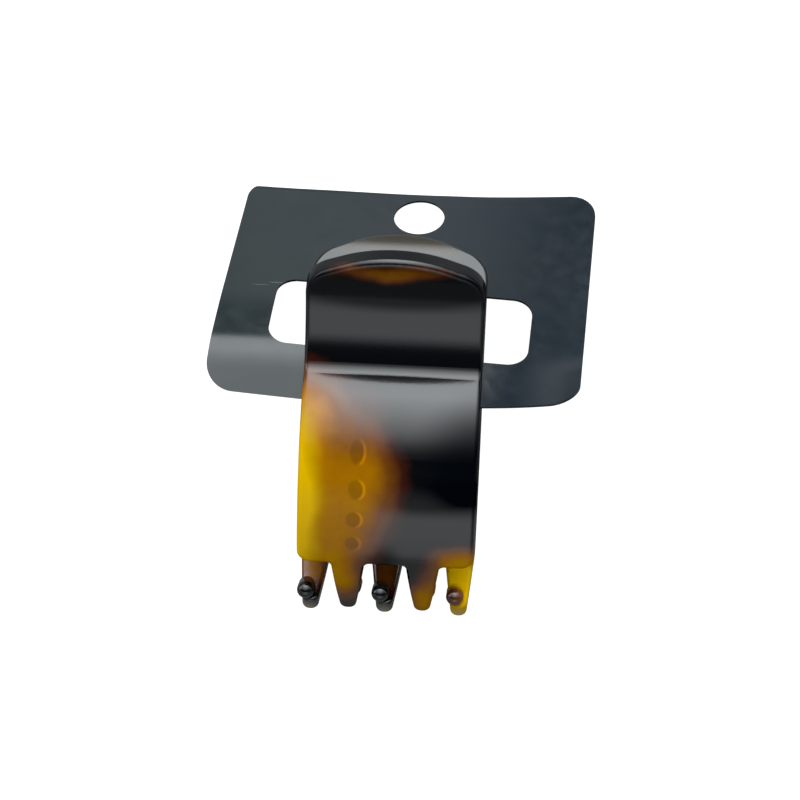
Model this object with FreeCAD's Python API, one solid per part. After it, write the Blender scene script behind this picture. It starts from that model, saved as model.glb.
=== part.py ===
import FreeCAD, Part
import math
import os

# Claw clip on its hang card, in millimetres.
#
# The clip is drawn in its own frame: X along the hinge, Y from the front jaw to the back jaw,
# Z from the teeth up to the tabs, with Z = 0 at the waist, where the jaws come closest. It is
# then laid on its back jaw and on the top edge of its card, with +Z up and the front jaw on top.

# Jaw plate, as its side outline
JAW_WIDTH = 30.0
WALL = 3.4
WAIST_GAP = 5.8
TAB_RADIUS = 22.5
TAB_ANGLE = 53.0
FOLD_RADIUS = 2.7
SHOULDER_ANGLE = 44.0
SHOULDER_RADIUS = 19.0
BODY_RADIUS = 36.9
ROOT_ANGLE = 31.5
TIP_ANGLE = 52.0
EDGE_ROUND = 0.9
INNER_ROUND = 0.5

# Arched end of a tab
TAB_SLOPE = 25.0
TAB_CROWN = 20.0
TAB_CORNER = 6.0
END_TRIM = 0.1

# Teeth, seen square to the plate
SIDE_TOOTH_INSET = 2.3
FRONT_TOOTH_ROOT = 5.8
BACK_TOOTH_ROOT = 6.0
TOOTH_TIP = 2.6
NOTCH_ROUND = 1.0
JAW_CORNER = 2.2

# Round-ended pegs inside the jaws
PEG_DIAMETER = 3.0
PEG_REACH = 4.0
PEG_TOP_DROP = 12.9
PEG_FIRST_STEP = 6.6
PEG_STEP_RATIO = 0.78
BODY_PEGS = 4
TIP_PEG_ANGLE = 47.0
TIP_PEG_REACH = 4.0
TIP_PEG_SHIFT = 0.7

# Hinge
PIN_HEIGHT = 4.0
PIN_DIAMETER = 2.0
PIN_CLEARANCE = 0.05
PIN_HEAD_DIAMETER = 3.2
PIN_HEAD_THICKNESS = 0.7
PIN_END_GAP = 0.1
LUG_RADIUS = 2.6
LUG_THICKNESS = 2.0
LUG_GAP = 0.3
BACK_LUG_INNER = 6.6

# Torsion spring
WIRE = 0.9
COIL_TURNS = 6
COIL_CLEARANCE = 0.45
COIL_PITCH = 1.15
LEG_LENGTH = 9.0
LEG_CLEARANCE = 0.1

# Hang card: a thin stiff sheet with a window and a hanging hole
CARD_WIDTH = 64.5
CARD_THICKNESS = 0.5
CARD_CORNER = 5.0
STRIP_HEIGHT = 9.4
STRIP_LEAN = 24.0
CARD_BEND_RADIUS = 17.0
CARD_LEAN = 58.0
WINDOW_WIDTH = 45.4
WINDOW_HEIGHT = 15.4
WINDOW_CORNER = 3.6
CARD_ABOVE_WINDOW = 26.0
HANG_HOLE_DIAMETER = 9.6
HANG_HOLE_FROM_TOP = 6.3
CARD_SEAT_GAP = 0.3
CARD_SEAT_DEPTH = -0.2
CARD_WINDOW_REACH = 4.0

# Worked out from the sizes above
HALF_WIDTH = JAW_WIDTH / 2
WAIST = WAIST_GAP / 2 + WALL
PIN_RADIUS = PIN_DIAMETER / 2
BORE_RADIUS = PIN_RADIUS + PIN_CLEARANCE
FRONT_LUG_INNER = BACK_LUG_INNER + LUG_THICKNESS + LUG_GAP
COIL_RADIUS = PIN_RADIUS + COIL_CLEARANCE + WIRE / 2
TOOTH_PITCH = (HALF_WIDTH - SIDE_TOOTH_INSET) / 2
FRONT_TEETH = [-TOOTH_PITCH, TOOTH_PITCH]
BACK_TEETH = [-2 * TOOTH_PITCH, 0.0, 2 * TOOTH_PITCH]


def vec(x, y, z):
    return FreeCAD.Vector(x, y, z)


def cos(angle):
    return math.cos(math.radians(angle))


def sin(angle):
    return math.sin(math.radians(angle))


def outward(lean):
    """Unit vector out of the front jaw's face where the face is tipped up by lean degrees."""
    return vec(0, -cos(lean), sin(lean))


# Centres of the four arcs of the front jaw's side outline, which meet tangentially
TAB_CENTRE = vec(0, -WAIST - TAB_RADIUS, 0)
FOLD_CENTRE = vec(0, -WAIST - FOLD_RADIUS, 0)
SHOULDER_TOP = FOLD_CENTRE - outward(SHOULDER_ANGLE) * FOLD_RADIUS
SHOULDER_CENTRE = SHOULDER_TOP - outward(SHOULDER_ANGLE) * SHOULDER_RADIUS
BODY_CENTRE = SHOULDER_CENTRE + outward(0) * (SHOULDER_RADIUS - BODY_RADIUS)


def hollow_arc(centre, radius, start, end):
    """Arc of the side outline that curves away from the face, from one lean to another."""
    points = [centre - outward(a) * radius for a in (start, (start + end) / 2, end)]
    return Part.Arc(*points).toShape()


def round_arc(centre, radius, start, end):
    """Arc of the side outline that bulges towards the face."""
    points = [centre + outward(a) * radius for a in (start, (start + end) / 2, end)]
    return Part.Arc(*points).toShape()


def side_arcs(depth):
    """The side outline at a depth below the jaw's outer face, from the tab's end to the tips."""
    return [
        hollow_arc(TAB_CENTRE, TAB_RADIUS + depth, -TAB_ANGLE, 0),
        hollow_arc(FOLD_CENTRE, FOLD_RADIUS + depth, 0, SHOULDER_ANGLE),
        round_arc(SHOULDER_CENTRE, SHOULDER_RADIUS - depth, SHOULDER_ANGLE, 0),
        round_arc(BODY_CENTRE, BODY_RADIUS - depth, 0, -TIP_ANGLE),
    ]


def plate():
    """The plain bent plate of a front jaw, before its ends are shaped."""
    outer = side_arcs(0)
    inner = side_arcs(WALL)
    tab_end = Part.makeLine(outer[0].firstVertex().Point, inner[0].firstVertex().Point)
    tip_end = Part.makeLine(outer[-1].lastVertex().Point, inner[-1].lastVertex().Point)
    edges = Part.sortEdges(outer + [tip_end] + inner + [tab_end])[0]
    face = Part.Face(Part.Wire(edges))
    face.translate(vec(-HALF_WIDTH, 0, 0))
    return face.extrude(vec(JAW_WIDTH, 0, 0))


def rounded_face(corners):
    """Flat face in the XY plane through (x, y, radius) corners, each rounded by its radius."""
    ins = []
    outs = []
    mids = []
    for i, (x, y, radius) in enumerate(corners):
        here = vec(x, y, 0)
        before = vec(*corners[i - 1][:2], 0) - here
        after = vec(*corners[(i + 1) % len(corners)][:2], 0) - here
        before.normalize()
        after.normalize()
        half = before.getAngle(after) / 2
        bisector = before + after
        bisector.normalize()
        ins.append(here + before * (radius / math.tan(half)))
        outs.append(here + after * (radius / math.tan(half)))
        mids.append(here + bisector * (radius / math.sin(half) - radius))
    edges = []
    for i, (x, y, radius) in enumerate(corners):
        if radius > 0:
            edges.append(Part.Arc(ins[i], mids[i], outs[i]).toShape())
        edges.append(Part.makeLine(outs[i], ins[(i + 1) % len(corners)]))
    return Part.Face(Part.Wire(edges))


def rectangle(x_low, x_high, y_low, y_high, radius=0):
    corners = [(x_low, y_low), (x_high, y_low), (x_high, y_high), (x_low, y_high)]
    return rounded_face([(x, y, radius) for x, y in corners])


def punch(kept, length, origin, lean):
    """Tool that cuts a plate's end, square to its face, to the kept outline.

    The outline's X runs along the hinge and its Y down the face from the origin. The tool takes
    everything outside the outline over that length of the face.
    """
    side = HALF_WIDTH + WALL
    waste = rectangle(-side, side, -WALL, length).cut(kept)
    reach = 2 * WALL
    waste.translate(vec(0, 0, -reach))
    tool = waste.extrude(vec(0, 0, 2 * reach))
    tool.Placement = FreeCAD.Placement(origin, FreeCAD.Rotation(vec(1, 0, 0), -90 - lean))
    return tool


def end_trim(turn):
    """How far a cut turned from the plate's end must start down the face to take all of that end."""
    return WALL / 2 * sin(turn) + END_TRIM


def tab_tool():
    """Cuts the tab's end to an arch: a round crown, a slope to each side and rounded corners."""
    apex = TAB_CROWN - TAB_CROWN / cos(TAB_SLOPE)
    shoulder = apex + HALF_WIDTH * math.tan(math.radians(TAB_SLOPE))
    length = shoulder + TAB_CORNER
    below = 2 * length
    kept = rounded_face([
        (HALF_WIDTH, below, 0),
        (-HALF_WIDTH, below, 0),
        (-HALF_WIDTH, shoulder, TAB_CORNER),
        (0, apex, TAB_CROWN),
        (HALF_WIDTH, shoulder, TAB_CORNER),
    ])
    end = TAB_CENTRE - outward(-TAB_ANGLE) * (TAB_RADIUS + WALL / 2)
    corner_turn = math.degrees(length / 2 / TAB_RADIUS)
    kept.translate(vec(0, end_trim(corner_turn), 0))
    return punch(kept, length, end, corner_turn - TAB_ANGLE)


def comb_tool(teeth, root_width):
    """Cuts the plate's lower end to tapered teeth with rounded tips, centred on the given X."""
    middle = BODY_RADIUS - WALL / 2
    turn = (TIP_ANGLE - ROOT_ANGLE) / 2
    length = 2 * middle * sin(turn) - end_trim(turn)
    corners = [(-HALF_WIDTH, -2 * WALL, 0), (HALF_WIDTH, -2 * WALL, 0)]
    flush = teeth[-1] + root_width / 2 + NOTCH_ROUND > HALF_WIDTH
    corners.append((HALF_WIDTH, 0, NOTCH_ROUND if flush else JAW_CORNER))
    for x in reversed(teeth):
        if not (flush and x == teeth[-1]):
            corners.append((x + root_width / 2, 0, NOTCH_ROUND))
        corners.append((x + TOOTH_TIP / 2, length, TOOTH_TIP / 2))
        corners.append((x - TOOTH_TIP / 2, length, TOOTH_TIP / 2))
        if not (flush and x == teeth[0]):
            corners.append((x - root_width / 2, 0, NOTCH_ROUND))
    corners.append((-HALF_WIDTH, 0, NOTCH_ROUND if flush else JAW_CORNER))
    root = BODY_CENTRE + outward(-ROOT_ANGLE) * middle
    return punch(rounded_face(corners), length + 2 * WALL, root, -ROOT_ANGLE - turn)


def round_edges(jaw, depth, radius):
    """Round every edge that bounds the bent face at a depth below the outer face."""
    radii = [TAB_RADIUS + depth, FOLD_RADIUS + depth, SHOULDER_RADIUS - depth, BODY_RADIUS - depth]
    bounds = {}
    for face in jaw.Faces:
        surface = face.Surface
        if not isinstance(surface, Part.Cylinder) or abs(surface.Axis.x) < 0.99:
            continue
        if min(abs(surface.Radius - r) for r in radii) > 1e-4:
            continue
        for edge in face.Edges:
            middle = edge.CenterOfMass
            bounds.setdefault((round(middle.x, 2), round(middle.y, 2), round(middle.z, 2)), []).append(edge)
    return jaw.makeFillet(radius, [edges[0] for edges in bounds.values() if len(edges) == 1])


def inner_face_y(z):
    """Y of the front jaw's inner face at a height below its shoulder."""
    if z > BODY_CENTRE.z:
        return SHOULDER_CENTRE.y - math.sqrt((SHOULDER_RADIUS - WALL) ** 2 - (z - SHOULDER_CENTRE.z) ** 2)
    return BODY_CENTRE.y - math.sqrt((BODY_RADIUS - WALL) ** 2 - (z - BODY_CENTRE.z) ** 2)


def peg(x, z, reach):
    """Round-ended peg standing on the front jaw's inner face, pointing at the back jaw."""
    radius = PEG_DIAMETER / 2
    root = inner_face_y(z) - WALL / 2
    end = inner_face_y(z) + reach - radius
    shank = Part.makeCylinder(radius, end - root, vec(x, root, z), vec(0, 1, 0))
    return shank.fuse(Part.makeSphere(radius, vec(x, end, z)))


def tip_peg_z():
    """Height of the peg that stands on each tooth."""
    return BODY_CENTRE.z - (BODY_RADIUS - WALL) * sin(TIP_PEG_ANGLE)


def pegs(teeth):
    """A column of pegs above each tooth, closing up towards the tips, and one peg on the tooth."""
    made = []
    for x in teeth:
        drop = PEG_TOP_DROP
        step = PEG_FIRST_STEP
        for _ in range(BODY_PEGS):
            made.append(peg(x, -drop, PEG_REACH))
            drop += step
            step *= PEG_STEP_RATIO
        made.append(peg(x + TIP_PEG_SHIFT, tip_peg_z(), TIP_PEG_REACH))
    return made


def lug(x_inner):
    """Eye and web, on the front jaw's inner face, that carry the hinge pin."""
    centre = vec(x_inner, 0, PIN_HEIGHT)
    eye = Part.makeCylinder(LUG_RADIUS, LUG_THICKNESS, centre, vec(1, 0, 0))
    depth = WAIST - WALL / 2
    web = Part.makeBox(LUG_THICKNESS, depth, 2 * LUG_RADIUS, centre - vec(0, depth, LUG_RADIUS))
    return eye.fuse(web)


def jaw(teeth, root_width, lug_inner):
    """One jaw, moulded in one piece, drawn as the front jaw."""
    body = plate().cut(tab_tool()).cut(comb_tool(teeth, root_width))
    body = round_edges(body, 0, EDGE_ROUND)
    body = round_edges(body, WALL, INNER_ROUND)
    lugs = [lug(lug_inner), lug(-lug_inner - LUG_THICKNESS)]
    body = body.multiFuse(pegs(teeth) + lugs)
    bore = Part.makeCylinder(BORE_RADIUS, JAW_WIDTH, vec(-HALF_WIDTH, 0, PIN_HEIGHT), vec(1, 0, 0))
    return body.cut(bore).removeSplitter()


def front_jaw():
    return jaw(FRONT_TEETH, FRONT_TOOTH_ROOT, FRONT_LUG_INNER)


def back_jaw():
    """The back jaw, drawn as a front jaw and turned half a turn about the clip's axis."""
    shape = jaw(BACK_TEETH, BACK_TOOTH_ROOT, BACK_LUG_INNER)
    shape.rotate(vec(0, 0, 0), vec(0, 0, 1), 180)
    return shape


def hinge_pin():
    """Steel pin through all four lugs, with a rounded head at each end."""
    half = FRONT_LUG_INNER + LUG_THICKNESS + PIN_END_GAP
    end = half + PIN_HEAD_THICKNESS
    outline = rounded_face([
        (0, -end, 0),
        (PIN_HEAD_DIAMETER / 2, -end, PIN_HEAD_THICKNESS / 2),
        (PIN_HEAD_DIAMETER / 2, -half, 0),
        (PIN_RADIUS, -half, 0),
        (PIN_RADIUS, half, 0),
        (PIN_HEAD_DIAMETER / 2, half, 0),
        (PIN_HEAD_DIAMETER / 2, end, PIN_HEAD_THICKNESS / 2),
        (0, end, 0),
    ])
    pin = outline.revolve(vec(0, 0, 0), vec(0, 1, 0), 360)
    pin.rotate(vec(0, 0, 0), vec(0, 0, 1), 90)
    pin.translate(vec(0, 0, PIN_HEIGHT))
    return pin


def leg_lean():
    """Lean of a spring leg that leaves the coil tangentially and lies along the tab's inner face."""
    to_tab = TAB_CENTRE - vec(0, 0, PIN_HEIGHT)
    reach = COIL_RADIUS + TAB_RADIUS + WALL + LEG_CLEARANCE + WIRE / 2
    below = math.degrees(math.atan2(-to_tab.z, -to_tab.y))
    return below + math.degrees(math.acos(reach / to_tab.Length))


def spring_leg(point, along):
    along.normalize()
    return Part.makeCylinder(WIRE / 2, LEG_LENGTH, point, along)


def torsion_spring():
    """Coil round the pin with a leg up each tab.

    Each half turn is part of a torus, tilted so that it climbs half a pitch. All halves meet
    square to the Y axis, so the wire runs on without a kink. The first and last halves stop
    where a leg leaves the coil.
    """
    slots = 2 * COIL_TURNS + 1
    lean = leg_lean()
    pieces = []
    for slot in range(slots):
        side = 1 if slot % 2 else -1
        start = vec((slot - slots / 2) * COIL_PITCH / 2, side * COIL_RADIUS, PIN_HEIGHT)
        end = vec(start.x + COIL_PITCH / 2, -start.y, PIN_HEIGHT)
        centre = (start + end) * 0.5
        out = start - centre
        turn = vec(0, 0, side * out.Length)
        first = lean if slot == 0 else 0
        last = 180 - lean if slot == slots - 1 else 180
        point = centre + out * cos(first) + turn * sin(first)
        along = turn * cos(first) - out * sin(first)
        disc = Part.Face(Part.Wire(Part.Circle(point, along, WIRE / 2).toShape()))
        pieces.append(disc.revolve(centre, out.cross(turn), last - first))
        if slot == 0:
            pieces.append(spring_leg(point, along * -1))
        if slot == slots - 1:
            point = centre + out * cos(last) + turn * sin(last)
            pieces.append(spring_leg(point, turn * cos(last) - out * sin(last)))
    return pieces[0].multiFuse(pieces[1:])


def up_card(lean):
    """Unit vector up the card where it leans back from the clip's axis by lean degrees."""
    return vec(0, sin(lean), cos(lean))


def off_card(lean):
    """Unit vector out of the card's back."""
    return vec(0, cos(lean), -sin(lean))


# Side line of the card: a straight strip, a bend beside the window, and a straight upper part
SEAT = vec(0, CARD_SEAT_DEPTH, PIN_HEIGHT - LUG_RADIUS - CARD_SEAT_GAP)
CARD_FOOT = SEAT - up_card(STRIP_LEAN) * STRIP_HEIGHT
BEND_CENTRE = SEAT + off_card(STRIP_LEAN) * CARD_BEND_RADIUS
BEND_END = BEND_CENTRE - off_card(CARD_LEAN) * CARD_BEND_RADIUS
BEND_LENGTH = math.radians(CARD_LEAN - STRIP_LEAN) * CARD_BEND_RADIUS
WINDOW_TOP = BEND_END + up_card(CARD_LEAN) * (WINDOW_HEIGHT - BEND_LENGTH)
CARD_TOP = WINDOW_TOP + up_card(CARD_LEAN) * CARD_ABOVE_WINDOW


def card_side(offset):
    """Side line of one face of the card, off the card's middle surface, from foot to top."""
    bend = [BEND_CENTRE - off_card(a) * (CARD_BEND_RADIUS - offset)
            for a in (STRIP_LEAN, (STRIP_LEAN + CARD_LEAN) / 2, CARD_LEAN)]
    foot = CARD_FOOT + off_card(STRIP_LEAN) * offset
    top = CARD_TOP + off_card(CARD_LEAN) * offset
    return [Part.makeLine(foot, bend[0]), Part.Arc(*bend).toShape(), Part.makeLine(bend[2], top)]


def card_punch(waste, origin, lean):
    """Flat waste turned into a tool that cuts the card square to its face. Its Y runs up the card."""
    reach = CARD_WINDOW_REACH
    waste.translate(vec(0, 0, -reach))
    tool = waste.extrude(vec(0, 0, 2 * reach))
    tool.Placement = FreeCAD.Placement(origin, FreeCAD.Rotation(vec(1, 0, 0), 90 - lean))
    return tool


def hang_card():
    front = card_side(-CARD_THICKNESS / 2)
    back = card_side(CARD_THICKNESS / 2)
    foot = Part.makeLine(front[0].firstVertex().Point, back[0].firstVertex().Point)
    top = Part.makeLine(front[-1].lastVertex().Point, back[-1].lastVertex().Point)
    outline = Part.Face(Part.Wire(Part.sortEdges(front + [top] + back + [foot])[0]))
    outline.translate(vec(-CARD_WIDTH / 2, 0, 0))
    card = outline.extrude(vec(CARD_WIDTH, 0, 0))
    return card.cut(Part.makeCompound(card_tools()))


def card_tools():
    """Tools for the four outer corners, the window and the hanging hole."""
    side = CARD_WIDTH / 2
    half_window = WINDOW_WIDTH / 2
    out = side + CARD_CORNER
    low_corners = rectangle(-out, out, -CARD_CORNER, CARD_CORNER).cut(
        rounded_face([(-side, 0, CARD_CORNER), (side, 0, CARD_CORNER), (side, out, 0), (-side, out, 0)]))
    high_corners = rectangle(-out, out, -CARD_CORNER, CARD_CORNER).cut(
        rounded_face([(-side, -out, 0), (side, -out, 0), (side, 0, CARD_CORNER), (-side, 0, CARD_CORNER)]))
    half_height = WINDOW_HEIGHT / 2
    window_low = rounded_face([(-half_window, 0, WINDOW_CORNER), (half_window, 0, WINDOW_CORNER),
                               (half_window, half_height, 0), (-half_window, half_height, 0)])
    window_high = rounded_face([(-half_window, -half_height, 0), (half_window, -half_height, 0),
                                (half_window, 0, WINDOW_CORNER), (-half_window, 0, WINDOW_CORNER)])
    corner_turn = math.degrees(WINDOW_CORNER / 2 / CARD_BEND_RADIUS)
    hole = CARD_TOP - up_card(CARD_LEAN) * HANG_HOLE_FROM_TOP - off_card(CARD_LEAN) * CARD_THICKNESS
    return [
        card_punch(low_corners, CARD_FOOT, STRIP_LEAN),
        card_punch(high_corners, CARD_TOP, CARD_LEAN),
        card_punch(window_low, SEAT, STRIP_LEAN + corner_turn),
        card_punch(window_high, WINDOW_TOP, CARD_LEAN),
        Part.makeCylinder(HANG_HOLE_DIAMETER / 2, 2 * CARD_THICKNESS, hole, off_card(CARD_LEAN)),
    ]


def lying_turn():
    """Turn about X that lays the clip on the card's top edge, and on the back jaw's body or the front tip pegs."""
    corner = CARD_TOP + off_card(CARD_LEAN) * (CARD_THICKNESS / 2)
    peg_end = inner_face_y(tip_peg_z()) + TIP_PEG_REACH - PEG_DIAMETER / 2
    rests = [
        (vec(0, -BODY_CENTRE.y, BODY_CENTRE.z), BODY_RADIUS),
        (vec(0, peg_end, tip_peg_z()), PEG_DIAMETER / 2),
    ]
    tilts = []
    for centre, radius in rests:
        away = corner - centre
        tilts.append(math.degrees(math.acos(radius / away.Length) - math.atan2(away.z, away.y)))
    return min(tilts) - 90


def main():
    os.makedirs("parts", exist_ok=True)
    pieces = {
        "front_jaw": front_jaw(),
        "back_jaw": back_jaw(),
        "hinge_pin": hinge_pin(),
        "torsion_spring": torsion_spring(),
        "hang_card": hang_card(),
    }
    for shape in pieces.values():
        shape.rotate(vec(0, 0, 0), vec(1, 0, 0), lying_turn())
    box = Part.makeCompound(list(pieces.values())).optimalBoundingBox(False)
    for name, shape in pieces.items():
        shape.translate(vec(-box.Center.x, -box.Center.y, -box.ZMin))
        shape.exportStep("parts/" + name + ".step")
        print(name, len(shape.Solids), shape.isValid(), round(shape.Volume, 1))


main()
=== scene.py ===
"""A tortoiseshell claw clip held on its plastic hang card, laid on a pale studio table.

Laid out as a Blender add-on and run as a script. The two jaws and the pin are the CAD nodes with
their finishes. The spring's front leg moves with the front jaw, so the spring is drawn as two
wires that stand for the CAD spring. The card is a bent sheet that stands for the plain CAD card.
"""

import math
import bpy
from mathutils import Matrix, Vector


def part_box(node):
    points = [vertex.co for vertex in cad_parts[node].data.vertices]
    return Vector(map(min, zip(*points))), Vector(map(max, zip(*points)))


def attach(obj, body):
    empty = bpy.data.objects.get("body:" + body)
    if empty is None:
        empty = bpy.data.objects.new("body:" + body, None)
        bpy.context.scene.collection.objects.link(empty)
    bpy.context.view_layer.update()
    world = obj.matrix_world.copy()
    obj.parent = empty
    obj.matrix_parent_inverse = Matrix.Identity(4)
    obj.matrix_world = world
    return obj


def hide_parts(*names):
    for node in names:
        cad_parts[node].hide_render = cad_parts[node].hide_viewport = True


bl_info = {
    "name": "Claw Clip on a Hang Card",
    "version": (1, 0, 0),
    "blender": (4, 5, 0),
    "location": "View3D > Sidebar > Claw Clip",
    "description": "Finishes a claw clip's jaws, pin and spring and shapes the card that holds it",
    "category": "Object",
}

import bpy
import numpy as np
from mathutils import Matrix, Vector

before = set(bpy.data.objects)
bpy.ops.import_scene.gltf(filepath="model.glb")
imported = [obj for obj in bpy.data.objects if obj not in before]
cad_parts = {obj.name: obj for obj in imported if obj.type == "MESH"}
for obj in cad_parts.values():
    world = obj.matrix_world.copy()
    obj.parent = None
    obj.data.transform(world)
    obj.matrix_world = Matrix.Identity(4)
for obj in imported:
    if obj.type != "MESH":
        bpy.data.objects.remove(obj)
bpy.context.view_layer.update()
CARD_LOW, CARD_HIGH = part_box("hang_card")

MM = 0.001
# The clip lies on its back and on the card's top edge. Its own axes, in millimetres, are x across,
# y from the front jaw to the back jaw and z from the teeth to the tabs; its origin is at the waist.
LIE = math.radians(22.8604)
CLIP_ORIGIN = Vector((0.0, 2.2087, 20.7099)) * MM
CLIP_BACK = Vector((0.0, math.sin(LIE), -math.cos(LIE)))
CLIP_UP = Vector((0.0, math.cos(LIE), math.sin(LIE)))

# The spring's sizes as the CAD has them, in millimetres and degrees; each leg leans out by
# LEG_LEAN. The legs here run square to the pin, so their ends lie 0.5 mm aside of the CAD's.
PIN_HEIGHT = 4.0
WIRE = 0.9
COIL_RADIUS = 1.9
COIL_PITCH = 1.15
HALF_TURNS = 13
LEG_LENGTH = 9.0
LEG_LEAN = 20.742
# Steps along each half turn of the coil; the wire that the opening jaws wind up, and its steps.
COIL_STEPS = 24
WOUND_UP = 62
WOUND_STEPS = 16
# The front leg's wire is this share of the spring's, so it hides in the coil when the jaws are shut.
LEG_WIRE = 0.98

# The card's seat, in the clip's own axes: where the strip's upper edge stands.
SEAT_ASIDE = 0.12
SEAT_BACK = -1.616
SEAT_UP = 1.05
# The sheet is drawn at this share of its flat width, and narrower by the second for each
# millimetre up. The bend doesn't cause this: both were set, and they also keep the sheet near
# the CAD card's box.
CARD_SPAN = 0.978
CARD_TAPER = 0.0006
# How far the card leans back from the clip's long axis, in degrees, at the strip, the window and
# the top: each is a + b u + c u squared, where u runs from -1 at the left edge to 1 at the right.
# The window's lean came from a fit to the card's outline, and the others were changed.
STRIP_LEAN = (24.0, 18.0, 13.0)
WINDOW_LEAN = (49.77, 0.54, 0.94)
TOP_LEAN = (56.6, -3.2, -4.9)
# The strip curls further by this much, from u = CURL_START on, over CURL_SPAN.
STRIP_CURL = 10.5
CURL_START = 0.2
CURL_SPAN = 0.25
# Where the lean starts to turn from the strip's to the window's and from that to the top's, in
# millimetres up the card from its seat, and over how many.
LOW_BEND = -4.0
HIGH_BEND = 6.0
BEND_SPAN = 8.0
# The card's cutting grid in millimetres, and how far to step when its outline's slope is taken.
CARD_GRID = 0.5
NUDGE = 0.01
# The card's top edge stays this far inside the CAD card's box, eased over the second, in metres.
EDGE_INSET = 0.0003
EDGE_EASE = 0.0002
CUT_EDGE = 0.00008

# Depth of the fine relief in every finish, in metres.
RELIEF = 0.00002
# How far the dye's edges wander in all, in millimetres, and how much the honey clouds.
DYE_WANDER = 3.2
CLOUDINESS = 0.1

# The figure of each jaw: soft spots given as centre and radii in the clip's own axes, in
# millimetres, then strength and the share of the spot that has it in full. In honey 0 is black dye
# and 1 is clear; a negative strength is a cloud of dye. Worn spots have less gloss, buffed spots
# have it on honey too, and the back jaw's pale spots are a painted sheen, pale khaki where its
# teeth's tips and its tab catch the light: all were placed for the view from the camera, and stand
# for no wear that is known. Each peg's painted shadow is a centre and radii.
FRONT_FIGURE = {
    "honey": (
        ((-17.0, -12.0, -20.5), (24.5, 40.0, 26.0), 0.63, 0.5),
        ((-17.0, -12.0, -25.0), (7.6, 40.0, 24.0), 0.48, 0.35),
        ((-7.0, -12.0, -10.0), (6.0, 40.0, 9.5), -0.15, 0.2),
        ((-8.5, -5.0, -36.0), (6.5, 20.0, 7.0), 0.16, 0.1),
        ((-6.6, -5.0, -39.5), (5.0, 20.0, 7.0), 0.34, 0.1),
        ((12.5, -6.0, -33.5), (9.0, 14.0, 6.5), 0.72, 0.1),
        ((7.5, 0.0, -41.0), (6.5, 20.0, 8.5), 0.68, 0.1),
        ((-0.8, -13.5, 15.9), (15.0, 9.0, 2.8), 0.5, 0.2),
    ),
    # Gloss is taken off the grip's upper face, the tooth roots, the right side and the middle.
    "worn": (
        ((0.0, -13.0, 12.9), (26.0, 14.0, 4.9), 0.7, 0.55),
        ((-0.5, -8.0, -33.0), (4.0, 30.0, 4.0), 0.6, 0.1),
        ((17.0, -8.0, -14.5), (15.0, 30.0, 12.5), 0.78, 0.3),
        ((6.0, -8.0, -21.2), (18.0, 30.0, 4.6), 0.75, 0.4),
    ),
    "buffed": (
        ((-5.0, -8.0, -5.5), (13.0, 30.0, 13.5), 0.66, 0.4),
    ),
    "pegs": (
        ((-5.2, 0.0, -14.1), (1.35, 60.0, 2.5)),
        ((-5.2, 0.0, -20.6), (1.45, 60.0, 2.0)),
        ((-5.5, 0.0, -25.9), (1.45, 60.0, 1.6)),
        ((-5.6, 0.0, -30.3), (1.4, 60.0, 1.4)),
    ),
}
BACK_FIGURE = {
    "honey": (
        ((12.7, 4.0, -40.0), (6.0, 12.0, 9.0), 1.5, 0.3),
        ((-12.7, 4.0, -38.0), (5.5, 10.0, 8.0), 0.58, 0.2),
        ((0.0, 4.0, -38.0), (5.0, 10.0, 8.0), 0.46, 0.2),
        ((-11.0, 14.0, -14.0), (10.0, 9.0, 14.0), 0.6, 0.2),
    ),
    # Painted sheen: pale khaki where the back teeth's tips and the back tab catch the light.
    "painted_sheen": (
        ((-12.7, -4.0, -44.6), (3.4, 6.0, 3.4), 0.7, 0.3),
        ((0.0, -4.0, -44.6), (3.4, 6.0, 3.4), 0.7, 0.3),
        ((12.7, -4.0, -44.6), (3.4, 6.0, 3.4), 0.7, 0.3),
        ((0.0, 14.0, 18.0), (17.0, 9.0, 7.0), 0.08, 0.5),
    ),
}
# A peg's painted shadow through the wall: strength and full share, how far to the right its
# painted highlight line lies, in millimetres, and how much brighter that is.
PEG_SHADOW = (0.26, 0.72)
PEG_LINE_ASIDE = 0.45
PEG_LINE_GLOW = 2.4

# Marks on the card, as spots: dark lines by the window's left and right ends, where the card is
# creased, with the creases' shade painted, and a dark hairline near the right edge, then two pale
# lines painted over the window's upper left corner.
CARD_CREASE_SHADE = (
    ((-23.0, 8.0, 4.6), (2.6, 30.0, 0.16), 0.8, 0.2),
    ((22.4, 8.0, -4.2), (0.16, 30.0, 4.4), 0.8, 0.2),
    ((31.0, 8.0, -5.0), (0.14, 30.0, 2.6), 0.8, 0.2),
)
# Two pale lines painted over the window's upper left corner.
CARD_PALE_LINES = (
    ((-24.0, 8.0, 10.6), (2.2, 30.0, 0.12), 0.10, 0.2),
    ((-21.3, 8.0, 11.0), (2.0, 30.0, 0.12), 0.14, 0.2),
)

# The light round the table: degrees from straight up, towards the tabs, and brightness there. The
# brightness is divided by SKY_FULL in the ramp.
SKY_LEVELS = (
    (-90, 1.2), (-74, 1.5), (-56, 1.6), (-46, 0.06), (-30, 0.02), (-18, 0.8), (-6, 2.6), (12, 4.8),
    (34, 7.2), (58, 6.4), (61, 1.8), (64, 0.3), (72, 0.3), (80, 1.0), (85, 1.2), (90, 1.2),
)
SKY_FULL = 8
SKY_TINT = (0.94, 0.985, 1.0)
# Half the table's side and its top, in metres: a hair below the clip.
TABLE_HALF = 2.0
TABLE_TOP = -0.00003
# The camera looks this far to the right of the clip's waist and below it, in millimetres.
AIM_RIGHT = 0.85
AIM_DOWN = 6.85


# ---------------------------------------------------------------- colours and nodes


def linear(colour):
    """An sRGB hex colour as linear red, green, blue and alpha.

    Near black a channel is c / 12.92; above that it is (c + 0.055) / 1.055 to the power 2.4.
    """
    parts = [int(colour[k:k + 2], 16) / 255 for k in (1, 3, 5)]
    return (*[c / 12.92 if c <= 0.04045 else ((c + 0.055) / 1.055) ** 2.4 for c in parts], 1.0)


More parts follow.
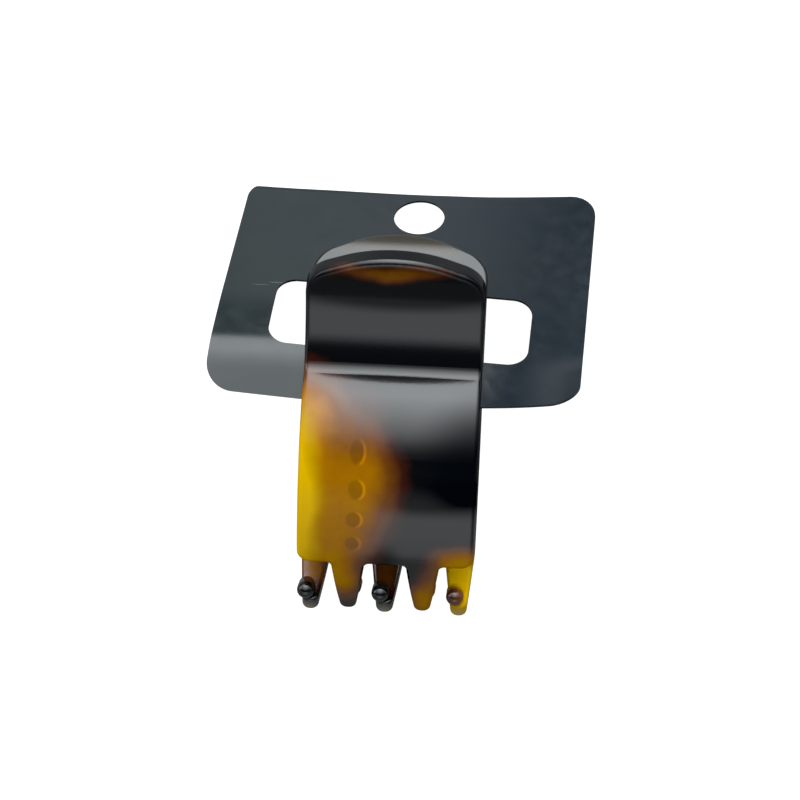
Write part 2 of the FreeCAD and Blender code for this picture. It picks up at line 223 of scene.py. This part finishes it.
def join(tree, node, inputs):
    """Sets or links a node's inputs by name or number; a node as a value gives its first output."""
    for key, value in inputs.items():
        if isinstance(value, bpy.types.Node):
            value = value.outputs[0]
        if isinstance(value, bpy.types.NodeSocket):
            tree.links.new(value, node.inputs[key])
        else:
            node.inputs[key].default_value = value


def add(tree, kind, inputs=None, stops=(), **settings):
    """Adds a node with its settings and inputs, and a colour ramp's stops as (position, colour)."""
    node = tree.nodes.new(kind)
    for name, value in settings.items():
        setattr(node, name, value)
    if stops:
        elements = node.color_ramp.elements
        elements.remove(elements[1])
        elements[0].position, elements[0].color = stops[0]
        for position, colour in stops[1:]:
            elements.new(position).color = colour
    join(tree, node, inputs or {})
    return node


def new_material(name):
    """An empty node material with its output and one Principled shader."""
    material = bpy.data.materials.new(name)
    material.use_nodes = True
    tree = material.node_tree
    tree.nodes.clear()
    shader = add(tree, "ShaderNodeBsdfPrincipled")
    add(tree, "ShaderNodeOutputMaterial", {"Surface": shader})
    return material, tree, shader


def clip_point(tree):
    """The place on the piece in the clip's own axes, in millimetres."""
    turn = {
        "Vector": add(tree, "ShaderNodeTexCoord").outputs["Object"],
        "Location": CLIP_ORIGIN,
        "Rotation": (LIE - math.pi / 2, 0.0, 0.0),
        "Scale": (MM, MM, MM),
    }
    return add(tree, "ShaderNodeMapping", turn, vector_type="TEXTURE")


def soft_spot(tree, point, centre, radii, strength, inner):
    """Strength inside the ellipsoid's inner share, falling by smoothstep to 0 at its skin."""
    place = {"Vector": point, "Location": centre, "Scale": radii}
    local = add(tree, "ShaderNodeMapping", place, vector_type="TEXTURE")
    away = add(tree, "ShaderNodeVectorMath", {0: local}, operation="LENGTH").outputs["Value"]
    fall = {"Value": away, "From Min": inner, "From Max": 1.0, "To Min": strength, "To Max": 0.0}
    return add(tree, "ShaderNodeMapRange", fall, interpolation_type="SMOOTHSTEP")


def soft_spots(tree, point, spots):
    """The sum of several soft spots."""
    total = soft_spot(tree, point, *spots[0])
    for spot in spots[1:]:
        more = soft_spot(tree, point, *spot)
        total = add(tree, "ShaderNodeMath", {0: total, 1: more}, operation="ADD")
    return total


# ---------------------------------------------------------------- finishes


def peg_shadows(tree, point, colour, pegs):
    """The colour with each peg behind the wall as a painted shadow and a painted highlight on its
    right.

    They are painted, so they stay where they are in any view and light, and the modelled pegs
    stand up to 1.6 mm above them and 1.2 mm to their left.

    The glow is 1 less the shadow, plus a few times whatever of the shadow's shape, moved to the
    right, lies outside it.
    """
    shadow = soft_spots(tree, point, [(centre, radii, *PEG_SHADOW) for centre, radii in pegs])
    moved = [((x + PEG_LINE_ASIDE, y, z), radii, *PEG_SHADOW) for (x, y, z), radii in pegs]
    line = add(tree, "ShaderNodeMath", {0: soft_spots(tree, point, moved), 1: shadow},
               operation="SUBTRACT")
    line = add(tree, "ShaderNodeMath", {0: line, 1: 0.0}, operation="MAXIMUM")
    lit = add(tree, "ShaderNodeMath", {0: 1.0, 1: shadow}, operation="SUBTRACT")
    glow = add(tree, "ShaderNodeMath", {0: line, 1: PEG_LINE_GLOW, 2: lit},
               operation="MULTIPLY_ADD")
    return add(tree, "ShaderNodeVectorMath", {0: colour, "Scale": glow}, operation="SCALE")


def tumbled_acetate(name, figure, settings):
    """Cellulose acetate with a tortoiseshell figure, tumbled to a soft polish.

    Clear honey plastic with clouds of nearly black dye through it. The real honey glows with the
    light that comes through it; here the glow is mostly colour, and little light goes through.
    """
    material, tree, shader = new_material(name)
    point = clip_point(tree)
    # The dye's edges wander by a millimetre or two, over about 8 mm.
    drift = add(tree, "ShaderNodeTexNoise", {"Vector": point, "Scale": 0.12, "Detail": 2.0})
    centred = add(tree, "ShaderNodeVectorMath", {0: drift.outputs["Color"], 1: (0.5, 0.5, 0.5)},
                  operation="SUBTRACT")
    wander = add(tree, "ShaderNodeVectorMath", {0: centred, 1: [DYE_WANDER] * 3, 2: point},
                 operation="MULTIPLY_ADD")
    honey = soft_spots(tree, wander, figure["honey"])
    # Fine cloudiness within the honey, about 2 mm across.
    cloud = add(tree, "ShaderNodeTexNoise", {"Vector": point, "Scale": 0.45, "Detail": 4.0})
    cloud = add(tree, "ShaderNodeMath", {0: cloud, 1: 0.5}, operation="SUBTRACT")
    honey = add(tree, "ShaderNodeMath", {0: cloud, 1: CLOUDINESS, 2: honey},
                operation="MULTIPLY_ADD")
    colour = add(tree, "ShaderNodeValToRGB", {"Fac": honey}, (
        (0.00, linear("#010306")),
        (0.12, linear("#030304")),
        (0.26, linear(settings.rim_colour_hex)),
        (0.44, linear("#5c3206")),
        (0.62, linear("#8c5a00")),
        (0.80, linear("#a67e00")),
        (1.00, linear("#c59c00")),
    ))
    if "pegs" in figure:
        colour = peg_shadows(tree, point, colour, figure["pegs"])
    # Painted sheen: the colour turns pale khaki where the teeth's tips and the tab catch the light.
    if "painted_sheen" in figure:
        painted_sheen = soft_spots(tree, point, figure["painted_sheen"])
        colour = add(tree, "ShaderNodeMix", {0: painted_sheen, 6: colour, 7: linear("#9a8c78")},
                     data_type="RGBA").outputs[2]
    clear = {"Value": honey, "From Min": 0.25, "From Max": 0.9,
             "To Min": 0.0, "To Max": settings.clearness}
    clearness = add(tree, "ShaderNodeMapRange", clear, interpolation_type="SMOOTHSTEP")
    # Handling marks a millimetre across, a little duller.
    dull = add(tree, "ShaderNodeTexNoise", {"Vector": point, "Scale": 0.8, "Detail": 5.0})
    rough = {"Value": dull, "From Min": 0.3, "From Max": 0.7,
             "To Min": settings.roughness - 0.03, "To Max": settings.roughness + 0.05}
    # Orange peel left by the tumbling, 0.4 mm across.
    peel = add(tree, "ShaderNodeTexNoise", {"Vector": point, "Scale": 2.4, "Detail": 2.0})
    bump = add(tree, "ShaderNodeBump", {"Height": peel, "Strength": 0.25, "Distance": RELIEF})
    # The gloss is a coat, made thinner on honey.
    gloss = {"Value": honey, "From Min": 0.32, "From Max": 0.7, "To Min": 1.0, "To Max": 0.01}
    coat = add(tree, "ShaderNodeMapRange", gloss, interpolation_type="SMOOTHSTEP")
    if "buffed" in figure:
        buffed = soft_spots(tree, point, figure["buffed"])
        coat = add(tree, "ShaderNodeMath", {0: coat, 1: buffed}, operation="MAXIMUM")
    if "worn" in figure:
        worn = soft_spots(tree, point, figure["worn"])
        kept = add(tree, "ShaderNodeMath", {0: 1.0, 1: worn}, operation="SUBTRACT", use_clamp=True)
        coat = add(tree, "ShaderNodeMath", {0: coat, 1: kept}, operation="MULTIPLY")
    join(tree, shader, {
        "Base Color": colour,
        "Transmission Weight": clearness,
        "Roughness": add(tree, "ShaderNodeMapRange", rough),
        "Normal": bump,
        "Coat Normal": bump,
        "Coat Weight": coat,
        "Coat Roughness": settings.roughness,
        "Coat IOR": 1.5,
        "Specular IOR Level": 0.0,
        "IOR": 1.49,
    })
    return material


def card_plastic(settings):
    """Polypropylene sheet, die cut and creased: nearly black, with a satin sheen and scuffs."""
    material, tree, shader = new_material("polypropylene sheet, satin black")
    point = clip_point(tree)
    # A haze 20 mm across, and painted shade: the colour turns darker and bluer towards the right.
    haze = add(tree, "ShaderNodeTexNoise", {"Vector": point, "Scale": 0.05, "Detail": 3.0})
    across = add(tree, "ShaderNodeSeparateXYZ", {"Vector": point}).outputs["X"]
    cool = add(tree, "ShaderNodeMath", {0: across, 1: 0.011, 2: haze}, operation="MULTIPLY_ADD")
    colour = add(tree, "ShaderNodeValToRGB", {"Fac": cool}, (
        (0.20, linear("#0b171a")),
        (0.50, linear(settings.card_colour_hex)),
        (0.80, linear("#000e18")),
    ))
    # Specks of dust and chips, 0.3 mm across and 8 mm apart.
    grains = add(tree, "ShaderNodeTexVoronoi", {"Vector": point, "Scale": 0.13, "Randomness": 1.0})
    dust = add(tree, "ShaderNodeMapRange", {
        "Value": grains, "From Min": 0.012, "From Max": 0.022, "To Min": 0.7, "To Max": 0.0})
    # Dust, the creases' painted shade and the painted pale lines go into the colour.
    marks = (
        (dust, linear("#8d9797")),
        (soft_spots(tree, point, CARD_CREASE_SHADE), linear("#000000")),
        (soft_spots(tree, point, CARD_PALE_LINES), linear("#8d9797")),
    )
    for share, over in marks:
        colour = add(tree, "ShaderNodeMix", {0: share, 6: colour, 7: over},
                     data_type="RGBA").outputs[2]
    # Scuffs 3 mm across, and a moulded grain 0.3 mm across.
    scuff = add(tree, "ShaderNodeTexNoise", {"Vector": point, "Scale": 0.35, "Detail": 6.0})
    grain = add(tree, "ShaderNodeTexNoise", {"Vector": point, "Scale": 3.0, "Detail": 2.0})
    join(tree, shader, {
        "Base Color": colour,
        "Roughness": add(tree, "ShaderNodeMapRange", {
            "Value": scuff, "From Min": 0.3, "From Max": 0.7, "To Min": 0.17, "To Max": 0.25}),
        "Normal": add(tree, "ShaderNodeBump", {
            "Height": grain, "Strength": 0.3, "Distance": RELIEF}),
        "IOR": 1.46,
    })
    return material


def drawn_steel(name, colour, roughness):
    """Drawn spring steel: a cool grey metal whose fine draw lines vary its shade and its polish."""
    material, tree, shader = new_material(name)
    # Draw lines 0.1 mm apart, running 3 mm across the clip.
    lines = add(tree, "ShaderNodeMapping", {"Vector": clip_point(tree), "Scale": (0.2, 6.0, 6.0)})
    line = add(tree, "ShaderNodeTexNoise", {"Vector": lines, "Scale": 1.6, "Detail": 3.0})
    join(tree, shader, {
        "Base Color": add(tree, "ShaderNodeValToRGB", {"Fac": line}, (
            (0.3, linear(colour)), (0.7, linear("#b4b6b8")))),
        "Metallic": 1.0,
        "Roughness": add(tree, "ShaderNodeMapRange", {
            "Value": line, "From Min": 0.3, "From Max": 0.7,
            "To Min": roughness, "To Max": roughness + 0.15}),
        "Normal": add(tree, "ShaderNodeBump", {
            "Height": line, "Strength": 0.2, "Distance": RELIEF}),
    })
    return material


def finish_node(name, material):
    """Puts one finish on a CAD node's material slots."""
    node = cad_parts[name]
    for place in node.material_slots:
        place.material = material
    if not node.material_slots:
        node.data.materials.append(material)


# ---------------------------------------------------------------- the card's shape


def on_table(points):
    """Carries rows of places in the clip's own axes, in millimetres, to the table, in metres.

    A place is the clip's origin plus each coordinate times its axis.
    """
    axes = np.array([(1.0, 0.0, 0.0), CLIP_BACK, CLIP_UP])
    return np.array(CLIP_ORIGIN) + MM * (points @ axes)


def smooth(value):
    """Smoothstep: 3 t squared less 2 t cubed, with t held between 0 and 1."""
    t = np.clip(value, 0.0, 1.0)
    return t * t * (3.0 - 2.0 * t)


def quadratic(terms, u):
    """a + b u + c u squared."""
    return terms[0] + terms[1] * u + terms[2] * u * u


def rounded_box(x, y, centre, half, radius):
    """Distance in millimetres to a rounded rectangle, negative inside it.

    It is the distance to the rectangle drawn in by the corner's radius, less that radius.
    """
    across = np.abs(x - centre[0]) - half[0] + radius
    along = np.abs(y - centre[1]) - half[1] + radius
    outside = np.hypot(np.maximum(across, 0.0), np.maximum(along, 0.0))
    return outside + np.minimum(np.maximum(across, along), 0.0) - radius


def card_height(card):
    """The flat card's height in millimetres: strip, window and the panel over it."""
    return card.strip + card.window_height + card.above_window


def card_outline(x, y, card):
    """Distance in millimetres to the cut card, negative in the plastic.

    It is the greatest of the blank's distance, the window's turned round and the hole's turned
    round.
    """
    height = card_height(card)
    blank = rounded_box(x, y, (0.0, height / 2), (card.width / 2, height / 2), card.corner)
    middle = card.strip + card.window_height / 2
    half_window = (card.window_width / 2, card.window_height / 2)
    window = rounded_box(x, y, (0.0, middle), half_window, card.window_corner)
    hole = np.hypot(x, y - height + card.hole_drop) - card.hole / 2
    return np.maximum(blank, np.maximum(-window, -hole))


def card_place(x, y, card):
    """Carries the flat card's points to where the bent card lies.

    The card is skewed by a few degrees, then leans back from the clip's long axis by an angle that
    blends from the strip's to the window's to the top's, each a quadratic across the card. The
    place is the running integral of that lean's sine and cosine from the strip's upper edge.
    """
    turn = math.radians(card.skew)
    up = y - card.strip
    run = -x * math.sin(turn) + up * math.cos(turn)
    across = x * math.cos(turn) + up * math.sin(turn) + SEAT_ASIDE
    across = across * (1.0 - CARD_TAPER * run) * CARD_SPAN
    u = (across / (card.width / 2))[:, None]
    # The integral is the mean over 64 steps' middles, times the run.
    steps = (np.arange(64) + 0.5) / 64
    t = run[:, None] * steps[None, :]
    strip = quadratic(STRIP_LEAN, u) + STRIP_CURL * smooth((u - CURL_START) / CURL_SPAN)
    window = quadratic(WINDOW_LEAN, u)
    top = quadratic(TOP_LEAN, u)
    lean = strip + (window - strip) * smooth((t - LOW_BEND) / BEND_SPAN)
    lean = np.radians(lean + (top - window) * smooth((t - HIGH_BEND) / BEND_SPAN))
    back = SEAT_BACK + np.sin(lean).mean(1) * run
    high = SEAT_UP + np.cos(lean).mean(1) * run
    points = on_table(np.stack([across, back, high], 1))
    # The top edge comes to rest inside the space that the CAD card fills, on the table: each
    # coordinate is eased on to its limit by the logarithm of 1 plus an exponential.
    limit = CARD_HIGH.y - EDGE_INSET
    points[:, 1] = limit - np.logaddexp(0.0, (limit - points[:, 1]) / EDGE_EASE) * EDGE_EASE
    rest = CARD_LOW.z + EDGE_INSET
    points[:, 2] = rest + np.logaddexp(0.0, (points[:, 2] - rest) / EDGE_EASE) * EDGE_EASE
    return points


def card_mesh(card):
    """The card as a grid of small squares, with those next to the cut drawn on to the cut.

    A corner moves against the outline's slope by its distance over the slope's length, three times
    over. The length's square is held at a quarter or more, because the slope fades where two edges
    are equally near.
    """
    nx = int(round(card.width / CARD_GRID)) + 3
    ny = int(round(card_height(card) / CARD_GRID)) + 3
    gx = (np.arange(nx) - (nx - 1) / 2) * CARD_GRID
    gy = (np.arange(ny) - 1) * CARD_GRID
    x, y = [g.ravel() for g in np.meshgrid(gx, gy)]
    corner = (np.arange(ny - 1)[:, None] * nx + np.arange(nx - 1)[None, :]).ravel()
    faces = np.stack([corner, corner + 1, corner + nx + 1, corner + nx], 1)
    kept = card_outline(x[faces].mean(1), y[faces].mean(1), card) < 0.0
    uses = np.bincount(faces[kept].ravel(), minlength=nx * ny)
    rim = (uses > 0) & (uses < 4)
    for _ in range(3):
        away = card_outline(x, y, card)
        right, left = card_outline(x + NUDGE, y, card), card_outline(x - NUDGE, y, card)
        above, below = card_outline(x, y + NUDGE, card), card_outline(x, y - NUDGE, card)
        slope_x, slope_y = (right - left) / (2 * NUDGE), (above - below) / (2 * NUDGE)
        size = np.maximum(slope_x ** 2 + slope_y ** 2, 0.25)
        x = np.where(rim, x - away * slope_x / size, x)
        y = np.where(rim, y - away * slope_y / size, y)
    number = np.cumsum(uses > 0) - 1
    points = card_place(x[uses > 0], y[uses > 0], card)
    mesh = bpy.data.meshes.new("hang_card_sheet")
    mesh.from_pydata(points.tolist(), [], number[faces[kept]].tolist())
    mesh.polygons.foreach_set("use_smooth", np.ones(len(mesh.polygons), bool))
    mesh.update()
    return mesh


# ---------------------------------------------------------------- the spring's shape


def coil_place(turn):
    """Places on the coil's wire, in millimetres; turns run in degrees from the front, down and back.

    Across is even with the turn; the other two are the coil's radius times minus the turn's cosine
    and minus its sine, about the pin.
    """
    angle = np.radians(turn)
    across = (turn / 180 - HALF_TURNS / 2) * COIL_PITCH / 2
    return np.stack([across, -COIL_RADIUS * np.cos(angle),
                     PIN_HEIGHT - COIL_RADIUS * np.sin(angle)], -1)


def coil_way(turn):
    """The wire's direction at a turn, less its pitch: the turn's sine and minus its cosine."""
    angle = np.radians(turn)
    return np.array([0.0, np.sin(angle), -np.cos(angle)])


def wire(name, points, scale):
    """A round wire, a circle carried along rows of places in the clip's own axes, in millimetres."""
    curve = bpy.data.curves.new(name, "CURVE")
    curve.dimensions = "3D"
    curve.bevel_depth = WIRE / 2 * scale * MM
    curve.bevel_resolution = 4
    curve.use_fill_caps = True
    line = curve.splines.new("POLY")
    line.points.add(len(points) - 1)
    line.points.foreach_set("co", np.column_stack([on_table(points), np.ones(len(points))]).ravel())
    line.use_smooth = True
    return bpy.data.objects.new(name, curve)


# ---------------------------------------------------------------- settings


class JawSettings(bpy.types.PropertyGroup):
    """What a user would change on the jaws."""

    rim_colour_hex: bpy.props.StringProperty(
        name="Dye rim", default="#2c0e06",
        description="sRGB colour where the dark dye meets the honey plastic")
    clearness: bpy.props.FloatProperty(
        name="Clearness", default=0.08, min=0.0, max=1.0, subtype="FACTOR",
        description="How much light goes through the honey plastic")
    roughness: bpy.props.FloatProperty(
        name="Polish", default=0.14, min=0.02, max=1.0, subtype="FACTOR",
        description="Roughness of the tumbled surface")


class CardSettings(bpy.types.PropertyGroup):
    """The flat card's sizes, in millimetres, before it is bent."""

    width: bpy.props.FloatProperty(
        name="Width", description="Card width, mm", default=64.5, min=40.0)
    strip: bpy.props.FloatProperty(
        name="Strip", description="Strip under the window, mm", default=9.4, min=3.0)
    window_width: bpy.props.FloatProperty(
        name="Window width", description="Window width, mm", default=45.4)
    window_height: bpy.props.FloatProperty(
        name="Window height", description="Window height, mm", default=15.4)
    window_corner: bpy.props.FloatProperty(
        name="Window corner", description="Window corner radius, mm", default=3.6)
    above_window: bpy.props.FloatProperty(
        name="Above window", description="Panel over the window, mm", default=26.0)
    corner: bpy.props.FloatProperty(
        name="Corner", description="Corner radius, mm", default=5.0)
    hole: bpy.props.FloatProperty(
        name="Hang hole", description="Hang hole diameter, mm", default=9.3)
    hole_drop: bpy.props.FloatProperty(
        name="Hole drop", description="Hole centre below the top edge, mm", default=6.3)
    skew: bpy.props.FloatProperty(
        name="Skew", description="Turn of the card on the clip, degrees", default=3.593)
    thickness: bpy.props.FloatProperty(
        name="Thickness", description="Sheet thickness", default=0.00042, min=0.0001,
        unit="LENGTH")
    card_colour_hex: bpy.props.StringProperty(
        name="Card colour", description="sRGB colour of the plastic", default="#081319")


class StageSettings(bpy.types.PropertyGroup):
    """The camera and the light."""

    distance: bpy.props.FloatProperty(
        name="Camera distance", description="From the clip's waist to the camera",
        default=0.56, min=0.2, unit="LENGTH")
    lens: bpy.props.FloatProperty(
        name="Lens", description="Focal length on a 36 mm sensor",
        default=148.7, min=20.0, unit="CAMERA")
    lean: bpy.props.FloatProperty(
        name="Lean", description="Camera above the clip's front",
        default=math.radians(8.0), subtype="ANGLE")
    swing: bpy.props.FloatProperty(
        name="Swing", description="Camera to the right of the clip's front",
        default=math.radians(2.2), subtype="ANGLE")
    roll: bpy.props.FloatProperty(
        name="Roll", description="Turn of the camera about its own line",
        default=math.radians(2.4), subtype="ANGLE")
    light: bpy.props.FloatProperty(
        name="Light", description="Brightness of the soft light overhead", default=8.0, min=0.0)


# ---------------------------------------------------------------- operators


class CLIP_OT_jaws(bpy.types.Operator):
    """Give both jaws their tortoiseshell finish"""

    bl_idname = "clip.jaws"
    bl_label = "Finish Jaws"

    def execute(self, context):
        settings = context.scene.clip_jaws
        front = tumbled_acetate("tumbled acetate, front figure", FRONT_FIGURE, settings)
        back = tumbled_acetate("tumbled acetate, back figure", BACK_FIGURE, settings)
        finish_node("front_jaw", front)
        finish_node("back_jaw", back)
        return {"FINISHED"}


class CLIP_OT_hinge(bpy.types.Operator):
    """Give the pin its drawn steel and draw the spring's two wires"""

    bl_idname = "clip.hinge"
    bl_label = "Finish Pin and Spring"

    def execute(self, context):
        finish_node("hinge_pin", drawn_steel("drawn steel pin", "#8a8d90", 0.22))
        steel = drawn_steel("drawn spring steel wire", "#6f7275", 0.28)
        # The coil stays with the back jaw. The front leg follows the front jaw, and carries the
        # stretch of wire that winds on to the coil as the jaws open; with the jaws shut that
        # stretch lies in the coil.
        last = HALF_TURNS * 180 - LEG_LEAN
        turns = np.linspace(LEG_LEAN, last, COIL_STEPS * HALF_TURNS)
        back_end = coil_place(last) + coil_way(last) * LEG_LENGTH
        coil = wire("spring_coil", np.vstack([coil_place(turns), back_end]), 1.0)
        wound = LEG_LEAN + WOUND_UP * np.arange(WOUND_STEPS, -1, -1) / WOUND_STEPS
        front_end = coil_place(LEG_LEAN) - coil_way(LEG_LEAN) * LEG_LENGTH
        leg = wire("spring_front_leg", np.vstack([coil_place(wound), front_end]), LEG_WIRE)
        for piece, body in ((coil, "back"), (leg, "front")):
            context.scene.collection.objects.link(piece)
            piece.data.materials.append(steel)
            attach(piece, body)
            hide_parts("torsion_spring")
        return {"FINISHED"}


class CLIP_OT_card(bpy.types.Operator):
    """Cut, bend and finish the hang card"""

    bl_idname = "clip.card"
    bl_label = "Make Hang Card"

    def execute(self, context):
        card = context.scene.clip_card
        sheet = bpy.data.objects.new("hang_card_sheet", card_mesh(card))
        context.scene.collection.objects.link(sheet)
        sheet.data.materials.append(card_plastic(card))
        wall = sheet.modifiers.new("Sheet", "SOLIDIFY")
        wall.thickness = card.thickness
        wall.offset = 0.0
        edge = sheet.modifiers.new("Cut edge", "BEVEL")
        edge.width = CUT_EDGE
        edge.segments = 2
        edge.limit_method = "ANGLE"
        edge.angle_limit = math.radians(50)
        edge.harden_normals = True
        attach(sheet, "back")
        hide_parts("hang_card")
        return {"FINISHED"}


class CLIP_OT_stage(bpy.types.Operator):
    """Lay the table, light it softly from behind and set the camera"""

    bl_idname = "clip.stage"
    bl_label = "Set Stage"

    def execute(self, context):
        stage = context.scene.clip_stage
        self.lay_table(context)
        self.light_sky(context, stage.light)
        self.set_camera(context, stage)
        context.scene.view_settings.view_transform = "Standard"
        return {"FINISHED"}

    def lay_table(self, context):
        """A square of 4 m of smooth white board, lit so that it hardly takes a shadow."""
        mesh = bpy.data.meshes.new("table")
        corners = [(x * TABLE_HALF, y * TABLE_HALF, TABLE_TOP)
                   for x, y in ((-1, -1), (1, -1), (1, 1), (-1, 1))]
        mesh.from_pydata(corners, [], [(0, 1, 2, 3)])
        table = bpy.data.objects.new("table", mesh)
        context.scene.collection.objects.link(table)
        material, tree, shader = new_material("white laminate board")
        # A faint fleck, 25 mm across.
        point = add(tree, "ShaderNodeTexCoord").outputs["Object"]
        fleck = add(tree, "ShaderNodeTexNoise", {"Vector": point, "Scale": 40.0, "Detail": 2.0})
        # Lit from below for the eye alone, so it stays white round the clip without flooding it.
        seen = add(tree, "ShaderNodeLightPath").outputs["Is Camera Ray"]
        join(tree, shader, {
            "Base Color": add(tree, "ShaderNodeValToRGB", {"Fac": fleck}, (
                (0.3, linear("#6e6f6e")), (0.7, linear("#727271")))),
            "Roughness": 0.7,
            "Specular IOR Level": 0.2,
            "Emission Color": (1.0, 1.0, 1.0, 1.0),
            "Emission Strength": add(tree, "ShaderNodeMath", {0: seen, 1: 0.95, 2: 0.05},
                                     operation="MULTIPLY_ADD"),
        })
        mesh.materials.append(material)

    def light_sky(self, context, strength):
        """A long soft light behind the clip, a dark band where the room is, and pale walls.

        The light depends on the angle from straight up in the plane across the hinge. To the
        sides 0.85 of it fades as 1 less x squared, to the power 3, where x is the direction's
        share across. On the left it gains half of x to the power 4.
        """
        world = bpy.data.worlds.new("soft studio")
        context.scene.world = world
        world.use_nodes = True
        tree = world.node_tree
        tree.nodes.clear()
        way = add(tree, "ShaderNodeTexCoord").outputs["Generated"]
        part = add(tree, "ShaderNodeSeparateXYZ", {"Vector": way}).outputs
        angle = add(tree, "ShaderNodeMath", {0: part["Y"], 1: part["Z"]}, operation="ARCTAN2")
        place = add(tree, "ShaderNodeMath", {0: angle, 1: 1.0 / math.pi, 2: 0.5},
                    operation="MULTIPLY_ADD", use_clamp=True)
        stops = [((degrees + 90) / 180, (*[share * level / SKY_FULL for share in SKY_TINT], 1.0))
                 for degrees, level in SKY_LEVELS]
        glow = add(tree, "ShaderNodeValToRGB", {"Fac": place}, stops)
        square = add(tree, "ShaderNodeMath", {0: part["X"], 1: part["X"]}, operation="MULTIPLY")
        inward = add(tree, "ShaderNodeMath", {0: 1.0, 1: square}, operation="SUBTRACT")
        inward = add(tree, "ShaderNodeMath", {0: inward, 1: 3.0}, operation="POWER")
        side = add(tree, "ShaderNodeMath", {0: inward, 1: 0.85, 2: 0.15}, operation="MULTIPLY_ADD")
        left = add(tree, "ShaderNodeMath", {0: part["X"], 1: -1.0}, operation="MULTIPLY")
        left = add(tree, "ShaderNodeMath", {0: left, 1: 0.0}, operation="MAXIMUM")
        left = add(tree, "ShaderNodeMath", {0: left, 1: 4.0}, operation="POWER")
        side = add(tree, "ShaderNodeMath", {0: left, 1: 0.5, 2: side}, operation="MULTIPLY_ADD")
        lit = add(tree, "ShaderNodeMath", {0: side, 1: strength}, operation="MULTIPLY")
        sky = add(tree, "ShaderNodeBackground", {"Color": glow, "Strength": lit})
        add(tree, "ShaderNodeOutputWorld", {"Surface": sky})

    def set_camera(self, context, stage):
        """Sets the camera on its line from the waist, aimed a little below it.

        The line leans up from the clip's front and swings to its right; the camera's own right and
        up are rolled about it, then squared to the way from the aim to the camera.
        """
        level = math.cos(stage.lean)
        away = (Vector((1, 0, 0)) * math.sin(stage.swing) * level
                - CLIP_BACK * math.cos(stage.swing) * level + CLIP_UP * math.sin(stage.lean))
        right = CLIP_UP.cross(away).normalized()
        up = away.cross(right)
        turned_right = right * math.cos(stage.roll) + up * math.sin(stage.roll)
        turned_up = up * math.cos(stage.roll) - right * math.sin(stage.roll)
        place = CLIP_ORIGIN + away * stage.distance
        aim = CLIP_ORIGIN + (turned_right * AIM_RIGHT - turned_up * AIM_DOWN) * MM
        back = (place - aim).normalized()
        turned_right = turned_up.cross(back).normalized()
        turned_up = back.cross(turned_right)
        data = bpy.data.cameras.new("camera")
        data.lens = stage.lens
        data.sensor_width = 36.0
        data.clip_start = 0.01
        camera = bpy.data.objects.new("camera", data)
        context.scene.collection.objects.link(camera)
        turn = Matrix((turned_right, turned_up, back)).transposed().to_4x4()
        camera.matrix_world = Matrix.Translation(place) @ turn
        context.scene.camera = camera


class CLIP_PT_panel(bpy.types.Panel):
    """Lists the clip's settings and steps in the sidebar"""

    bl_idname = "CLIP_PT_panel"
    bl_label = "Claw Clip"
    bl_space_type = "VIEW_3D"
    bl_region_type = "UI"
    bl_category = "Claw Clip"

    def draw(self, context):
        scene = context.scene
        for group in (scene.clip_jaws, scene.clip_card, scene.clip_stage):
            box = self.layout.box()
            for name in group.__annotations__:
                box.prop(group, name)
        for operator in OPERATORS:
            self.layout.operator(operator.bl_idname)


GROUPS = {"clip_jaws": JawSettings, "clip_card": CardSettings, "clip_stage": StageSettings}
OPERATORS = (CLIP_OT_jaws, CLIP_OT_hinge, CLIP_OT_card, CLIP_OT_stage)


def register():
    """Registers the settings, the operators and the panel."""
    for cls in (*GROUPS.values(), *OPERATORS, CLIP_PT_panel):
        bpy.utils.register_class(cls)
    for name, cls in GROUPS.items():
        setattr(bpy.types.Scene, name, bpy.props.PointerProperty(type=cls))


def unregister():
    """Takes them all away again."""
    for name in GROUPS:
        delattr(bpy.types.Scene, name)
    for cls in reversed((*GROUPS.values(), *OPERATORS, CLIP_PT_panel)):
        bpy.utils.unregister_class(cls)


def main():
    """Makes the whole scene."""
    register()
    bpy.ops.clip.jaws()
    bpy.ops.clip.hinge()
    bpy.ops.clip.card()
    bpy.ops.clip.stage()


if __name__ == "__main__":
    main()
